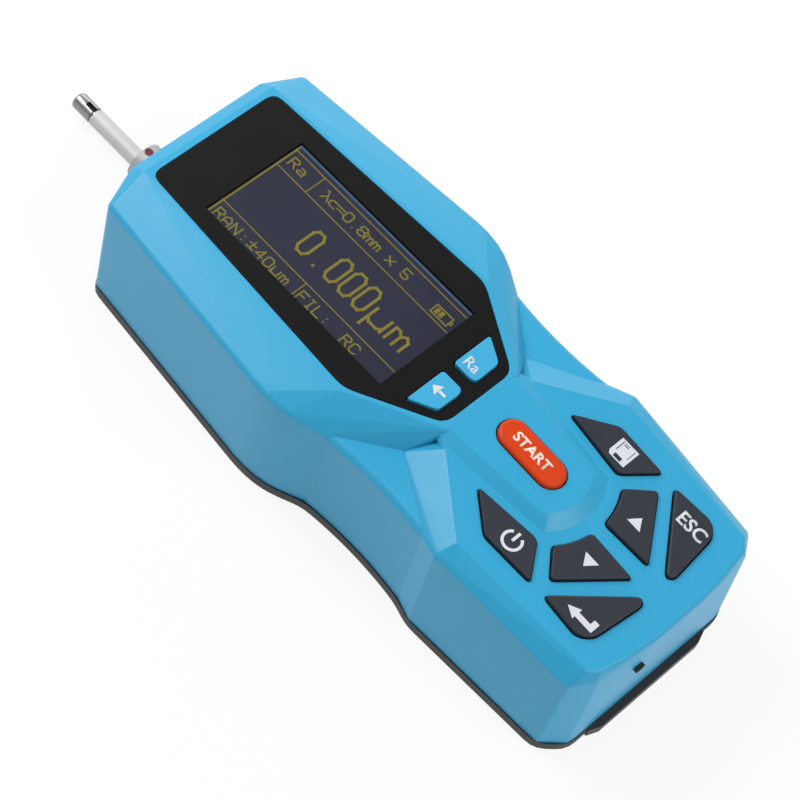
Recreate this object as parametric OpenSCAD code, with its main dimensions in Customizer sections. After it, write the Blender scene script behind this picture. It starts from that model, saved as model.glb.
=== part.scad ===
// Hand-held surface roughness tester: waisted housing, display, keys, traversing pickup.
// X runs from the pickup end (negative) to the keypad end, Z is up, the base rests on Z = 0.

/* [Housing] */
// Length of the housing without the pickup
body_len = 141; // [138:0.5:146]
// Width across the shoulders, the widest place
shoulder_w = 64.4; // [63:0.2:65.4]
// Width just behind the chamfered pickup end
front_w = 54.6; // [53.2:0.2:55.6]
// Flat width of the pickup end wall
front_flat = 35.4; // [32.8:0.2:37.8]
// Width at the middle of the waist
waist_w = 52.8; // [51.6:0.1:53.4]
// Width where the keypad section flares out
flare_w = 57.8; // [57:0.1:58.6]
// Width at the keypad end, before its corner chamfers
tail_w = 55; // [54.4:0.2:55.8]
// Height of the display deck above the base
deck_z = 36; // [35.6:0.1:37]
// Height of the edge between side wall and display bevel
wall_z = 32.5; // [31.8:0.1:33]
// Height of the flat ledge at the waist
ledge_z = 30.4; // [29.8:0.1:30.8]
// Thickness of the moulded walls
wall = 2.2; // [1.9:0.1:2.4]
// Radius on the edges of the side walls
edge_r = 1.8; // [1:0.1:2.2]
// Radius on the edges of the decks
deck_r = 1; // [0.6:0.1:1.2]

/* [Keypad] */
// Height of the keypad deck at its reference point
keypad_z = 32.7; // [32.4:0.1:33.2]
// Tilt of the keypad deck, falling to its end
keypad_tilt = 3.4; // [2.5:0.1:4]
// Height of the spine over the keypad deck
spine_h = 1.5; // [1.2:0.1:1.8]
// How far the keys stand above their deck
key_proud = 0.9; // [0.5:0.1:1.2]
// Gap around a key in its opening
key_gap = 0.3; // [0.25:0.05:0.4]
// Travel of a key
key_travel = 0.6; // [0.4:0.1:0.6]
// Length of the START key
start_len = 17.2; // [15:0.2:17.6]
// Width of the START key
start_w = 6.8; // [6:0.2:7.2]

/* [Display] */
// Thickness of the window
window_t = 1.2; // [1:0.1:1.3]
// Length of the visible screen
screen_len = 51.4; // [48:0.2:52]
// Width of the visible screen
screen_w = 25.2; // [24:0.2:26]

/* [Base] */
// Height of the base cover
base_h = 2.8; // [2.6:0.1:3]
// How far the base stands out from the walls
base_out = 0.3; // [0.1:0.05:0.5]
// How far the lip at the keypad end stands out
lip_out = 1.7; // [1:0.1:2.5]

/* [Pickup] */
// Radius of the pickup tube
tube_r = 2; // [1.8:0.05:2.1]
// Height of the pickup axis above the base plane
tube_z = 4; // [3.9:0.05:4.2]
// Distance of the pickup tip from the end wall
pickup_out = 34; // [32:0.5:37]
// Length of the polished nose
nose_len = 6; // [5.6:0.2:7]
// Travel of the pickup
traverse = 17.5; // [10:0.5:18]
// Radius of the collar around the tube
collar_r = 4.5; // [4.2:0.1:4.8]
// Distance of the collar's face from the end wall
collar_out = 12.5; // [10:0.5:13]

/* [Drive] */
// Radius of the lead screw
screw_r = 1.5; // [1.2:0.1:1.7]
// Radius of the guide rods
rod_r = 1.5; // [1.2:0.1:1.7]
// Distance of a guide rod from the middle
rod_y = 10; // [9:0.2:10.5]
// Height of the lead screw and the rods
screw_z = 12; // [11.5:0.1:12.5]
// Teeth of the gear on the screw
gear_teeth = 24; // [22:1:26]
// Teeth of the pinion on the motor
pinion_teeth = 16; // [15:1:17]
// Tooth size as pitch diameter over teeth
tooth_size = 0.5; // [0.45:0.01:0.52]
// Radius of the motor
motor_r = 4.5; // [4:0.1:4.8]

/* [Hidden] */
$fn = 48;

// Colours
blue = [0.20, 0.60, 0.80];
light_blue = [0.45, 0.75, 0.88];
black = [0.10, 0.10, 0.11];
key_grey = [0.20, 0.21, 0.24];
orange = [0.87, 0.25, 0.07];
board_green = [0.10, 0.35, 0.20];
steel = [0.72, 0.72, 0.72];
brass = [0.75, 0.60, 0.30];

// Stations along the length, which keep their share of it
front_x = -body_len / 2;
tail_x = body_len / 2;
stretch = body_len / 141;
function along(d) = front_x + d * stretch;
corner_x = front_x + 3.6;
shoulder_x = along(59.3);
waist_x0 = along(69.4);
pinch_x = along(81.4);
waist_x = along(83.5);
waist_x1 = along(97.4);
flare_x = along(102.3);
key_x = along(115.5);
tail_corner_x = tail_x - 3.2;
tail_foot_x = tail_x + 1.4;

// Fits shared by mating pieces
run_fit = 0.03;
loose_fit = 0.2;
seat_gap = 0.05;

// Outline helpers
function unit(v) = v / norm(v);
function out_normal(a, b) = unit([b.y - a.y, a.x - b.x]);
function at(list, i) = list[(i + len(list)) % len(list)];
function shrink(poly, d) = [for (i = [0:len(poly) - 1])
    let (n1 = out_normal(at(poly, i - 1), poly[i]),
         n2 = out_normal(poly[i], at(poly, i + 1)))
    poly[i] - d * (n1 + n2) / (1 + n1 * n2)];
function soften(poly, r, steps = 3) = [for (i = [0:len(poly) - 1])
    let (p = poly[i],
         a = p + unit(at(poly, i - 1) - p) * min(r, norm(at(poly, i - 1) - p) * 0.45),
         b = p + unit(at(poly, i + 1) - p) * min(r, norm(at(poly, i + 1) - p) * 0.45))
    for (k = [0:steps]) let (t = k / steps)
    (1 - t) * (1 - t) * a + 2 * t * (1 - t) * p + t * t * b];
function both_sides(half) = concat(
    [for (p = half) [p.x, -p.y]],
    [for (i = [len(half) - 1:-1:0]) half[i]]);
function mirror_y(poly) = [for (i = [len(poly) - 1:-1:0]) [poly[i].x, -poly[i].y]];
function with_z(poly, z) = [for (p = poly) [p.x, p.y, z]];
function arc(cx, r, a0, a1, steps) = [for (k = [0:steps])
    let (a = a0 + (a1 - a0) * k / steps) [cx + r * cos(a), r * sin(a)]];

// Keypad plane
function keypad_at(x) = keypad_z - tan(keypad_tilt) * (x - key_x);
module on_keypad() {
    translate([key_x, 0, keypad_z]) rotate([0, keypad_tilt, 0]) children();
}
function to_keypad(poly) = [for (p = poly) [p.x * stretch, p.y]];

// Plan of the side walls, one half from the pickup end to the keypad end
function waist_half(x) = waist_w / 2 + 0.0048 * pow(x - waist_x, 2);
front_corner = [corner_x, front_w / 2];
shoulder = [shoulder_x, shoulder_w / 2];
neck = [waist_x0, waist_half(waist_x0)];
shoulder_bend = [for (k = [0:4]) let (t = k / 4,
        a = shoulder + 7 * unit(front_corner - shoulder),
        b = shoulder + 6 * unit(neck - shoulder))
    (1 - t) * (1 - t) * a + 2 * t * (1 - t) * shoulder + t * t * b];
front_half = concat([[front_x, front_flat / 2], front_corner], shoulder_bend);
waist_steps = [for (k = [0:5]) let (x = waist_x0 + (waist_x1 - waist_x0) * k / 5) [x, waist_half(x)]];
tail_half = [[flare_x, flare_w / 2], [tail_corner_x + 0.2, tail_w / 2],
    [tail_foot_x, tail_w / 2 - 4.9]];
body_plan = both_sides(concat(front_half, waist_steps, tail_half));

// Display block: walls up to the bevel, then the flat deck
display_half = concat(front_half, [neck, [pinch_x + 0.4, 17.7]]);
display_wall_z = concat([wall_z + 1.1, wall_z],
    [for (k = [0:4]) wall_z - 0.44 * (wall_z - ledge_z) * pow(k / 4, 2)],
    [ledge_z + 0.1, ledge_z]);
deck_half = [[front_x + 3.7, 17.8], [along(65.3), 20.9], [along(84.6), 10.1]];

// Keypad block: walls up to the lower bevel, then the tilted deck
keypad_half = [[pinch_x - 0.2, 17.8], [waist_x1, waist_half(waist_x1)], [flare_x, flare_w / 2],
    [tail_corner_x, tail_w / 2 - 0.9], [tail_x + 0.1, tail_w / 2 - 6],
    [tail_x + 1.1, 14], [tail_x + 1.6, 7]];
keypad_wall_z = [ledge_z, ledge_z, ledge_z + 0.8, keypad_z - 4.6, keypad_z - 3.5,
    keypad_z - 2.9, keypad_z - 2.6];
keypad_foot_half = [[pinch_x - 0.2, 17.8], [waist_x1, waist_half(waist_x1)], [flare_x, flare_w / 2],
    [tail_corner_x + 0.2, tail_w / 2], [tail_foot_x, tail_w / 2 - 4.9]];
keypad_deck_half = [[pinch_x + 6.2, 12.6], [waist_x1 - 0.6, 18.5], [flare_x + 1.1, 24.6],
    [tail_x - 2.9, tail_w / 2 - 4.8], [tail_x - 1.1, tail_w / 2 - 6.9], [tail_x, 14.5],
    [tail_x + 0.7, 7]];

// Window, display and keys
window_half = [[front_x + 4.9, 17], [along(65.4), 20], [along(83.9), 9.4]];
soft_left = [[along(75.1), 1.5], [along(80.2), 1.5], [along(81), 2.4],
    [along(80.9), 8.2], [along(80.4), 8.9], [along(75.1), 11.8]];
screen_x = along(75.1) - 5.8 - screen_len / 2;
spine_end_x = key_x + 0.5;
spine_end_r = 15;
wedge_key = [[-17.8, 13.2], [-2.7, 11.6], [2.8, 19], [-9.6, 19.4]];
arrow_key = concat(arc(-14, spine_end_r + 2.45, 35.1, 6, 5), [[15, 2.3], [5.1, 15.5]]);
corner_key = [[6.6, 18.9], [19, 3.5], [20.3, 4.6], [19, 17.2], [16.5, 19.6]];
key_round = 0.9;
corner_round = 1.5;
start_x = along(99.2);
display_plan = soften(both_sides([[along(9.5), 16.2], [along(77), 17], [along(81), 14.5]]), 1.5);

// Heights of the key stack under a deck
flange_t = 1.2;
key_bottom = -wall - seat_gap - flange_t;
switch_gap = key_travel + 0.1;
switch_h = 2.4;
board_t = 1.6;
board_top = key_bottom - switch_gap - switch_h;
display_z1 = deck_z - wall;
display_t = 4.5;
display_board_top = display_z1 - display_t;
soft_bottom = display_board_top + switch_h + switch_gap;

// Pickup and drive positions
tip_x = front_x - pickup_out;
nose_x1 = tip_x + nose_len;
collar_z = tube_z + 1.6;
collar_x0 = front_x - collar_out;
frame_x0 = front_x + 6.5;
frame_wall = 3;
rear_wall_x = frame_x0 + 42;
carriage_len = 12;
carriage_x = frame_x0 + frame_wall + 2;
tube_x1 = carriage_x + carriage_len;
gear_t = 3;
gear_x = rear_wall_x + frame_wall + 0.5;
motor_wall_x = gear_x + gear_t + 0.5;
motor_len = 22;
gear_r = gear_teeth * tooth_size / 2;
pinion_r = pinion_teeth * tooth_size / 2;
motor_y = gear_r + pinion_r;
frame_y = 15;

// Screws and posts, with the bosses grown into the side walls
boss_r = 3;
boss_in = wall + boss_r - 0.5;
front_boss_x = front_x + 10.5;
tail_boss_x = tail_x - 8.5;
front_boss_y = (front_w + (shoulder_w - front_w) * (front_boss_x - corner_x) / (shoulder_x - corner_x)) / 2;
tail_boss_y = (flare_w + (tail_w - flare_w) * (tail_boss_x - flare_x) / (tail_corner_x - flare_x)) / 2;
screw_places = [[front_boss_x, front_boss_y - boss_in], [tail_boss_x, tail_boss_y - boss_in]];
boss_h = 16;
screw_shank_r = 1.25;
screw_head_r = 2.6;
board_posts = [[along(70.5), 19], [tail_x - 18.5, 19]];
main_z = 17;
port_y = -9.6;
port_w = 2.4;
port_h = 1.2;
port_z = main_z + board_t + 3.2;

// Size of the small cubes that stand for the corners of a hollow
point_size = 0.3;

// Solid through rings of points, each with a ball of its own radius
module ball_hull(rings) {
    hull()
        for (ring = rings, p = ring[0])
            translate(p) sphere(ring[1], $fn = 20);
}
module point_hull(points) {
    hull()
        for (p = points)
            translate(p - [point_size / 2, point_size / 2, point_size]) cube(point_size);
}
function z_pair(zs) = concat(zs, [for (i = [len(zs) - 1:-1:0]) zs[i]]);
function raise(poly, zs, drop) = [for (i = [0:len(poly) - 1]) [poly[i].x, poly[i].y, zs[i] - drop]];

module display_block() {
    walls = shrink(both_sides(display_half), edge_r);
    ball_hull([
        [raise(walls, z_pair(display_wall_z), 0.65 * edge_r), edge_r],
        [with_z(walls, base_h - 3), edge_r],
        [with_z(shrink(both_sides(deck_half), 0.21 * deck_r), deck_z - deck_r), deck_r]]);
}
module display_cavity() {
    walls = shrink(both_sides(display_half), wall);
    point_hull(concat(
        raise(walls, z_pair(display_wall_z), wall * 0.7),
        with_z(walls, base_h - 1),
        with_z(shrink(both_sides(deck_half), 0.5), deck_z - wall)));
}
module keypad_block() {
    deck = shrink(both_sides(keypad_deck_half), 0.21 * deck_r);
    ball_hull([
        [raise(shrink(both_sides(keypad_half), edge_r), z_pair(keypad_wall_z), 0.65 * edge_r), edge_r],
        [with_z(shrink(both_sides(keypad_foot_half), edge_r), base_h - 3), edge_r],
        [[for (p = deck) [p.x, p.y, keypad_at(p.x) - deck_r]], deck_r]]);
}
module keypad_cavity() {
    deck = shrink(both_sides(keypad_deck_half), 0.5);
    point_hull(concat(
        raise(shrink(both_sides(keypad_half), wall), z_pair(keypad_wall_z), wall * 0.7),
        with_z(shrink(both_sides(keypad_foot_half), wall), base_h - 1),
        [for (p = deck) [p.x, p.y, keypad_at(p.x) - wall]]));
}
function spine_outline(start, half_end, end_x, r) = both_sides(concat(
    start, arc(end_x - r, r, asin(half_end / r), 0.01, 5)));
module spine_block() {
    top = spine_outline([[pinch_x + 1.2, 9.7]], 7.3, key_x - 3, 11);
    foot = spine_outline([[pinch_x - 1, 10.2], [pinch_x + 6.2, 13.2]],
        10.4, spine_end_x + 1.3, spine_end_r + 1);
    ball_hull([
        [[for (p = shrink(top, 0.15)) [p.x, p.y, min(keypad_at(p.x) + spine_h, deck_z - 0.05) - 0.6]], 0.6],
        [[for (p = shrink(foot, 0.4)) [p.x, p.y, keypad_at(p.x) - 1]], 0.4]]);
}

// Waist as sections along X with rounded upper edges
function waist_section(x, inset, top) = let (w = waist_half(x) - inset, r = edge_r) concat(
    [[x, -w, base_h - 2]],
    [for (a = [0:22.5:90]) [x, -w + r * (1 - cos(a)), top - r * (1 - sin(a))]],
    [for (a = [90:-22.5:0]) [x, w - r * (1 - cos(a)), top - r * (1 - sin(a))]],
    [[x, w, base_h - 2]]);
module loft(sections) {
    n = len(sections[0]);
    m = len(sections);
    polyhedron(
        points = [for (s = sections, p = s) p],
        faces = concat(
            [[for (k = [n - 1:-1:0]) k]],
            [for (j = [0:m - 2], k = [0:n - 1]) let (next = (k + 1) % n)
                each [[j * n + k, (j + 1) * n + next, (j + 1) * n + k],
                      [j * n + k, j * n + next, (j + 1) * n + next]]],
            [[for (k = [0:n - 1]) (m - 1) * n + k]]),
        convexity = 4);
}
module waist_block() {
    loft([for (x = [waist_x0 - 4:4:waist_x1 + 4]) waist_section(x, 0, ledge_z)]);
}
module waist_cavity() {
    loft([for (x = [waist_x0 - 4.5:4:waist_x1 + 4]) waist_section(x, wall, ledge_z - wall)]);
}

module prism(poly, z0, z1) {
    translate([0, 0, z0]) linear_extrude(z1 - z0) polygon(poly);
}
module along_x(x0, x1, r, y = 0, z = 0) {
    translate([x0, y, z]) rotate([0, 90, 0]) cylinder(h = x1 - x0, r = r);
}
module capsule(length, width, z0, z1) {
    translate([0, 0, z0])
        linear_extrude(z1 - z0)
            union() {
                square([length - width, width], center = true);
                for (s = [-1, 1])
                    translate([s * (length - width) / 2, 0]) circle(d = width);
            }
}
key_plans = [soften(to_keypad(wedge_key), key_round), soften(to_keypad(arrow_key), key_round),
    soften(to_keypad(corner_key), corner_round, 5)];
module both_rows() {
    children();
    mirror([0, 1, 0]) children();
}

module upper_housing() {
    color(blue)
    difference() {
        union() {
            difference() {
                union() {
                    display_block();
                    keypad_block();
                    spine_block();
                    waist_block();
                }
                display_cavity();
                keypad_cavity();
                waist_cavity();
            }
            both_rows()
                for (p = screw_places)
                    translate([p.x, p.y, base_h]) cylinder(h = boss_h - base_h, r = boss_r);
            both_rows()
                on_keypad()
                    translate([-26.5 * stretch, 8.5, board_top]) cylinder(h = -wall - board_top + 0.5, r = 1.6);
            on_keypad()
                translate([20.4 * stretch, 0, board_top]) cylinder(h = -wall - board_top + 0.5, r = 1.4);
        }
        translate([front_x - 10, -50, base_h - 20]) cube([body_len + 20, 100, 20]);
        prism(soften(both_sides(window_half), 2.4), deck_z - window_t, deck_z + 5);
        translate([screen_x - screen_len / 2 - 1.5, -screen_w / 2 - 1.5, deck_z - 8])
            cube([screen_len + 3, screen_w + 3, 12]);
        both_rows()
            prism(soften(shrink(soft_left, -key_gap), 0.8), deck_z - 8, deck_z + 5);
        both_rows()
            on_keypad()
                for (plan = key_plans)
                    prism(shrink(plan, -key_gap), -wall - 3, 4);
        on_keypad()
            translate([start_x - key_x, 0, 0])
                capsule(start_len + 2 * key_gap, start_w + 2 * key_gap, -wall - 3, 5);
        prism(shrink(display_plan, -0.4), display_board_top - board_t - 0.4, display_board_top + 0.6);
        translate([tail_x - 6, port_y - port_w / 2, port_z]) cube([10, port_w, port_h]);
        along_x(front_x - 2, frame_x0, collar_r, 0, collar_z);
        both_rows()
            for (p = screw_places)
                translate([p.x, p.y, base_h - 1]) cylinder(h = 11, r = screw_shank_r + seat_gap);
    }
}

lip_plan = [[tail_x - 3, -17.5], [tail_foot_x + lip_out * 0.4, -17.3], [tail_foot_x + lip_out, -14.6],
    [tail_foot_x + lip_out, 14.6], [tail_foot_x + lip_out * 0.4, 17.3], [tail_x - 3, 17.5]];
module base_cover() {
    plan = soften(shrink(body_plan, -base_out), 2.4);
    foot = soften(shrink(body_plan, 0.3 - base_out), 2.4);
    color(black)
    difference() {
        union() {
            prism(foot, 0, 0.4);
            prism(plan, 0.4, base_h);
            prism(lip_plan, 0, base_h - 0.1);
            both_rows()
                for (p = board_posts)
                    translate([p.x, p.y, base_h - 1]) cylinder(h = main_z - base_h + 1, r = 2);
        }
        along_x(front_x - 2, frame_x0, collar_r, 0, collar_z);
        translate([front_x - 2, -tube_r - 0.6, 1.1])
            cube([tube_x1 + traverse + 3 - front_x, 2 * tube_r + 1.2, 5]);
        both_rows()
            for (p = screw_places)
                translate([p.x, p.y, 0]) {
                    translate([0, 0, -1]) cylinder(h = 6, r = screw_shank_r + loose_fit);
                    translate([0, 0, -1]) cylinder(h = 2.2, r = screw_head_r + loose_fit);
                }
    }
}

module display_window() {
    color(black)
    difference() {
        prism(soften(shrink(both_sides(window_half), 0.1), 2.4), deck_z - window_t, deck_z - 0.05);
        both_rows()
            prism(soften(shrink(soft_left, -key_gap), 0.8), deck_z - 8, deck_z + 5);
    }
}

module display_module() {
    color([0.16, 0.13, 0.18])
    union() {
        translate([screen_x - screen_len / 2 - 3.5, -screen_w / 2 - 2.6, display_board_top])
            cube([screen_len + 7, screen_w + 5.2, display_t]);
        translate([screen_x - screen_len / 2, -screen_w / 2, display_z1 - 0.5])
            cube([screen_len, screen_w, wall - window_t + 0.5]);
    }
}

module display_board() {
    color(board_green)
        prism(display_plan, display_board_top - board_t, display_board_top);
}

module soft_key(plan) {
    color(light_blue)
    union() {
        prism(soften(plan, 0.8), soft_bottom, deck_z + 0.45);
        prism(soften(shrink(plan, -0.6 - key_gap), 0.8), soft_bottom, display_z1 - seat_gap);
    }
}
module soft_key_left() { soft_key(soft_left); }
module soft_key_right() { soft_key(mirror_y(soft_left)); }

module start_key() {
    color(orange)
    on_keypad()
        translate([start_x - key_x, 0, 0]) {
            capsule(start_len, start_w, key_bottom, spine_h + key_proud);
            capsule(start_len + 1.8, start_w + 1.8, key_bottom, -wall - seat_gap);
        }
}

module deck_key(plan) {
    color(key_grey)
    on_keypad()
        union() {
            prism(plan, key_bottom, key_proud);
            prism(shrink(plan, -0.8), key_bottom, -wall - seat_gap);
        }
}
module power_key() { deck_key(mirror_y(key_plans[0])); }
module save_key() { deck_key(key_plans[0]); }
module down_key() { deck_key(mirror_y(key_plans[1])); }
module up_key() { deck_key(key_plans[1]); }
module enter_key() { deck_key(mirror_y(key_plans[2])); }
module escape_key() { deck_key(key_plans[2]); }

module keypad_board() {
    color(board_green)
    on_keypad()
        prism(soften(to_keypad(both_sides([[-28.5, 12], [-20, 19], [20, 20.5], [21.5, 17]])), 1.5),
            board_top - board_t, board_top);
}

module push_switch() {
    cylinder(h = switch_h, r = 1.2);
    translate([-2.25, -2.25, 0]) cube([4.5, 4.5, switch_h - 0.7]);
}
switch_places = [[-6.5, 15.6], [6, 8.4], [15, 12.4]];
module key_switches() {
    color(steel) {
        both_rows()
            on_keypad()
                for (p = switch_places)
                    translate([p.x * stretch, p.y, board_top]) push_switch();
        on_keypad()
            translate([start_x - key_x, 0, board_top]) push_switch();
        both_rows()
            translate([along(77.9), 5.6, display_board_top]) push_switch();
    }
}

main_half = [[along(63), 18], [along(67), 21.3], [tail_x - 7, 21.3], [tail_x - 4, 17]];
module main_board() {
    color(board_green)
        prism(soften(both_sides(main_half), 1.5), main_z, main_z + board_t);
}

battery_x0 = motor_wall_x + 2.5 + motor_len + 5;
battery_x1 = tail_x - 6;
module battery_pack() {
    color([0.30, 0.32, 0.36])
        prism(soften([[battery_x0, -15], [battery_x1, -15], [battery_x1, 15], [battery_x0, 15]], 2),
            base_h, base_h + 13);
}

snout_w = port_w - loose_fit;
snout_h = port_h - loose_fit;
module charging_socket() {
    color([0.15, 0.15, 0.16])
    difference() {
        union() {
            translate([tail_x - 10, port_y - 3.5, main_z + board_t]) cube([7, 7, 4]);
            translate([tail_x - 3.6, port_y - snout_w / 2, port_z + loose_fit / 2])
                cube([tail_foot_x + lip_out - tail_x + 3, snout_w, snout_h]);
        }
        translate([tail_x - 2, port_y - snout_w / 2 + 0.5, port_z + loose_fit / 2 + 0.25])
            cube([8, snout_w - 1, snout_h - 0.5]);
    }
}

module drive_frame() {
    color([0.45, 0.46, 0.48])
    difference() {
        union() {
            translate([frame_x0, -frame_y, base_h])
                cube([motor_wall_x + 2.5 - frame_x0, 2 * frame_y, 1.6]);
            for (x = [frame_x0, rear_wall_x])
                translate([x, -frame_y, base_h]) cube([frame_wall, 2 * frame_y, 14.5]);
            translate([motor_wall_x, -frame_y, base_h]) cube([2.5, 2 * frame_y, 14.5]);
        }
        translate([frame_x0 - 1, -7.5, base_h - 1])
            cube([rear_wall_x - 0.01 - frame_x0, 15, 4.2]);
        translate([frame_x0 - 1, -4, base_h - 1]) cube([frame_wall + 2, 8, 6.4]);
        along_x(frame_x0 - 1, rear_wall_x + frame_wall + 1, screw_r + run_fit, 0, screw_z);
        for (s = [-1, 1])
            along_x(frame_x0 - 1, rear_wall_x + frame_wall + 1, rod_r, s * rod_y, screw_z);
        along_x(motor_wall_x - 1, motor_wall_x + 4, 2, motor_y, screw_z);
        along_x(motor_wall_x - 1, motor_wall_x + 4, 1.7, 0, screw_z);
    }
}

module drive_motor() {
    color(steel)
        union() {
            along_x(motor_wall_x + 2.5, motor_wall_x + 2.5 + motor_len, motor_r, motor_y, screw_z);
            along_x(motor_wall_x, motor_wall_x + 3, 1.9, motor_y, screw_z);
        }
}

// Involute teeth with a little backlash
pressure_angle = 25;
function inv(a) = tan(a) * 180 / PI - a;
function flank_angle(rb, r) = inv(acos(min(1, rb / r)));
function tooth_points(teeth, r, turn) = let (
        rb = r * cos(pressure_angle),
        tip = r + 0.8 * tooth_size,
        root = r - 1.05 * tooth_size,
        low = max(rb, root),
        half = 90 / teeth - 0.07 / r * 180 / PI + inv(pressure_angle),
        radii = [for (k = [0:4]) low + (tip - low) * k / 4])
    [for (i = [0:teeth - 1]) let (a = turn + 360 / teeth * i)
        each concat(
            [root * [cos(a - half), sin(a - half)]],
            [for (q = radii) let (b = a - half + flank_angle(rb, q)) q * [cos(b), sin(b)]],
            [for (k = [4:-1:0]) let (q = radii[k], b = a + half - flank_angle(rb, q))
                q * [cos(b), sin(b)]],
            [root * [cos(a + half), sin(a + half)]])];
module toothed_wheel(teeth, r, turn, bore) {
    rotate([90, 0, 90])
        difference() {
            linear_extrude(gear_t) polygon(tooth_points(teeth, r, turn));
            translate([0, 0, -1]) cylinder(h = gear_t + 2, r = bore);
        }
}
module screw_gear() {
    color(brass) translate([gear_x, 0, screw_z]) toothed_wheel(gear_teeth, gear_r, 0, screw_r);
}
module motor_pinion() {
    color(brass)
    union() {
        translate([gear_x, motor_y, screw_z])
            toothed_wheel(pinion_teeth, pinion_r, 180 + 180 / pinion_teeth, 0.8);
        along_x(gear_x, motor_wall_x, 0.8, motor_y, screw_z);
    }
}

module lead_screw() {
    color(steel)
        along_x(frame_x0 + 0.5, gear_x + gear_t, screw_r, 0, screw_z);
}

module guide_rods() {
    color(steel)
        for (s = [-1, 1])
            along_x(frame_x0, rear_wall_x + frame_wall, rod_r, s * rod_y, screw_z);
}

module carriage() {
    color([0.25, 0.26, 0.28])
    difference() {
        union() {
            translate([carriage_x, -13.5, 8]) cube([carriage_len, 27, 8]);
            translate([carriage_x, -5, tube_z]) cube([carriage_len, 10, 5]);
        }
        along_x(carriage_x - 1, carriage_x + carriage_len + 1, tube_r, 0, tube_z);
        along_x(carriage_x - 1, carriage_x + carriage_len + 1, screw_r + run_fit, 0, screw_z);
        for (s = [-1, 1])
            along_x(carriage_x - 1, carriage_x + carriage_len + 1, rod_r + run_fit, s * rod_y, screw_z);
    }
}

module pickup_tube() {
    color([0.80, 0.80, 0.79])
    difference() {
        along_x(nose_x1, tube_x1, tube_r, 0, tube_z);
        along_x(nose_x1 - 1, tube_x1 - 3, tube_r - 0.5, 0, tube_z);
    }
}

pivot_x = nose_x1 - 1.2;
pivot_r = 0.4;
module pickup_nose() {
    color([0.85, 0.85, 0.85])
    difference() {
        union() {
            translate([tip_x, 0, tube_z])
                rotate([0, 90, 0])
                    rotate_extrude()
                        polygon(concat(
                            [[0, 0]],
                            [for (a = [0:15:90]) [tube_r - 0.7 + 0.7 * sin(a), 0.7 - 0.7 * cos(a)]],
                            [[tube_r, nose_len - 0.5], [tube_r - 0.35, nose_len - 0.5],
                             [tube_r - 0.35, nose_len], [tube_r - 0.5, nose_len],
                             [tube_r - 0.5, nose_len + 3], [0, nose_len + 3]]));
        }
        translate([tip_x + 2, -0.6, tube_z - 4]) cube([nose_len - 2.4, 1.2, 4.9]);
        translate([tip_x + 3, -0.6, tube_z]) cube([nose_len - 3.4, 1.2, 4]);
        translate([pivot_x, 0, tube_z])
            rotate([90, 0, 0]) cylinder(h = 3.2, r = pivot_r + run_fit, center = true);
    }
}

module stylus_arm() {
    color(steel)
    union() {
        translate([tip_x + 2.3, -0.35, tube_z - 0.4]) cube([pivot_x - tip_x - 2.3, 0.7, 0.8]);
        translate([pivot_x, 0, tube_z])
            rotate([90, 0, 0]) cylinder(h = 3, r = pivot_r, center = true);
        translate([tip_x + 2.7, 0, 0.9]) cylinder(h = tube_z - 0.9, r = 0.3);
        translate([tip_x + 2.7, 0, 0.25]) cylinder(h = 0.66, r1 = 0.05, r2 = 0.3);
    }
}

// Round red mark on top of the collar that shows which way the pickup goes in
mark_x = collar_x0 + 1.2;
mark_r = 0.95;
mark_z = collar_z + collar_r - 1.2;
module probe_collar() {
    color([0.86, 0.86, 0.85])
    difference() {
        along_x(collar_x0, frame_x0, collar_r, 0, collar_z);
        along_x(collar_x0 - 1, frame_x0 + 1, tube_r + loose_fit, 0, tube_z);
        translate([mark_x, 0, mark_z]) cylinder(h = 3, r = mark_r);
    }
}

module collar_mark() {
    color([0.45, 0.08, 0.12])
    intersection() {
        translate([mark_x, 0, mark_z]) cylinder(h = 3, r = mark_r);
        along_x(collar_x0, collar_x0 + 3, collar_r + 0.12, 0, collar_z);
    }
}

module housing_screws() {
    color(steel)
        both_rows()
            for (p = screw_places)
                translate([p.x, p.y, 0]) {
                    translate([0, 0, 0.3])
                        difference() {
                            cylinder(h = 0.9, r = screw_head_r);
                            for (a = [0, 90])
                                rotate(a) translate([-1.3, -0.25, -0.5]) cube([2.6, 0.5, 0.9]);
                        }
                    translate([0, 0, 1.1]) cylinder(h = 9, r = screw_shank_r);
                }
}

upper_housing();
base_cover();
display_window();
display_module();
display_board();
soft_key_left();
soft_key_right();
start_key();
power_key();
save_key();
down_key();
up_key();
enter_key();
escape_key();
keypad_board();
key_switches();
main_board();
battery_pack();
charging_socket();
drive_frame();
drive_motor();
motor_pinion();
screw_gear();
lead_screw();
guide_rods();
carriage();
pickup_tube();
pickup_nose();
stylus_arm();
probe_collar();
collar_mark();
housing_screws();
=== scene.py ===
import bpy
import math
from mathutils import Matrix, Vector


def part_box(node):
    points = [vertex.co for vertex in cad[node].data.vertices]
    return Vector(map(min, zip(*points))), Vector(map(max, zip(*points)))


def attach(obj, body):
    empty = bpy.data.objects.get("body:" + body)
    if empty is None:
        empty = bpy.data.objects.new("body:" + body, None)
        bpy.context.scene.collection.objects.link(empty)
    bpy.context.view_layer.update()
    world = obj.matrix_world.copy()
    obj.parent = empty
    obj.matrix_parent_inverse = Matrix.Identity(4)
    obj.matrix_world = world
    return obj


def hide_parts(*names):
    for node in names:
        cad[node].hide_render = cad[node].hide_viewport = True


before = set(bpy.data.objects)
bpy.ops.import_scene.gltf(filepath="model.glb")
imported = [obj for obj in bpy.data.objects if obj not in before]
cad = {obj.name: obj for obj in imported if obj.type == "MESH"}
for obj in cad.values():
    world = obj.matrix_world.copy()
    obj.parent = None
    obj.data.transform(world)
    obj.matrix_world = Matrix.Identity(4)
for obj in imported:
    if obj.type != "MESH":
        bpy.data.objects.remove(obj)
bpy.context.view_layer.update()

scene = bpy.context.scene
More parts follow.
